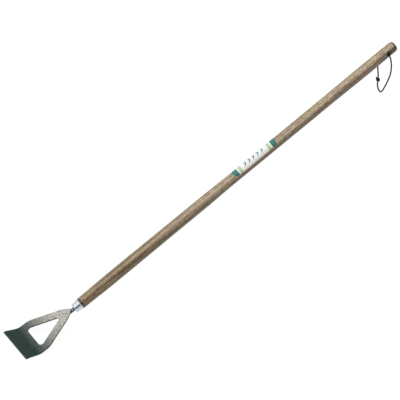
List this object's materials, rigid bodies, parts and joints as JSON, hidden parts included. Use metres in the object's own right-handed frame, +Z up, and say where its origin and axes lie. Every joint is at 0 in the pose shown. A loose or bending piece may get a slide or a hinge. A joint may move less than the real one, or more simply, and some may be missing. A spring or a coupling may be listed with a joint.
{
  "type": "dutch hoe",
  "caption": "Long-handled push hoe: bent steel plate head with a triangular window, welded to a round tang, ferruled into a stained ash shaft with a corded end.",
  "frame": {"origin": "middle of the blade's flat sole, on the ground", "axes": "+Z up from the ground, +X from the cutting edge towards the shaft's rounded end, Y along the cutting edge"},
  "size_m": [1.2572, 0.15, 0.7475],
  "materials": {
    "stained_ash": "dark wax stain over open ash grain",
    "polished_ferrule": "polished plated steel",
    "hammered_paint": "hammer-effect paint, dark green on the blade and pewter on the arms",
    "dark_bar": "dark painted steel bar and weld",
    "sticker": "printed film with a satin face",
    "black_cord": "black braided cord"
  },
  "bodies": {
    "hoe": {"shaft": "stained_ash", "ferrule": "polished_ferrule", "tang": "dark_bar", "tang_welds": "dark_bar", "head_plate": "hammered_paint", "label": "sticker"},
    "hang_loop": {"hang_cord": "black_cord", "cord_knot": "black_cord"}
  },
  "joints": [
    {"name": "loop_swing", "type": "hinge", "parent": "hoe", "child": "hang_loop", "pos_m": [1.20447, 0, 0.71976], "axis": [0, 1, 0], "range_deg": [-285, 45]}
  ]
}
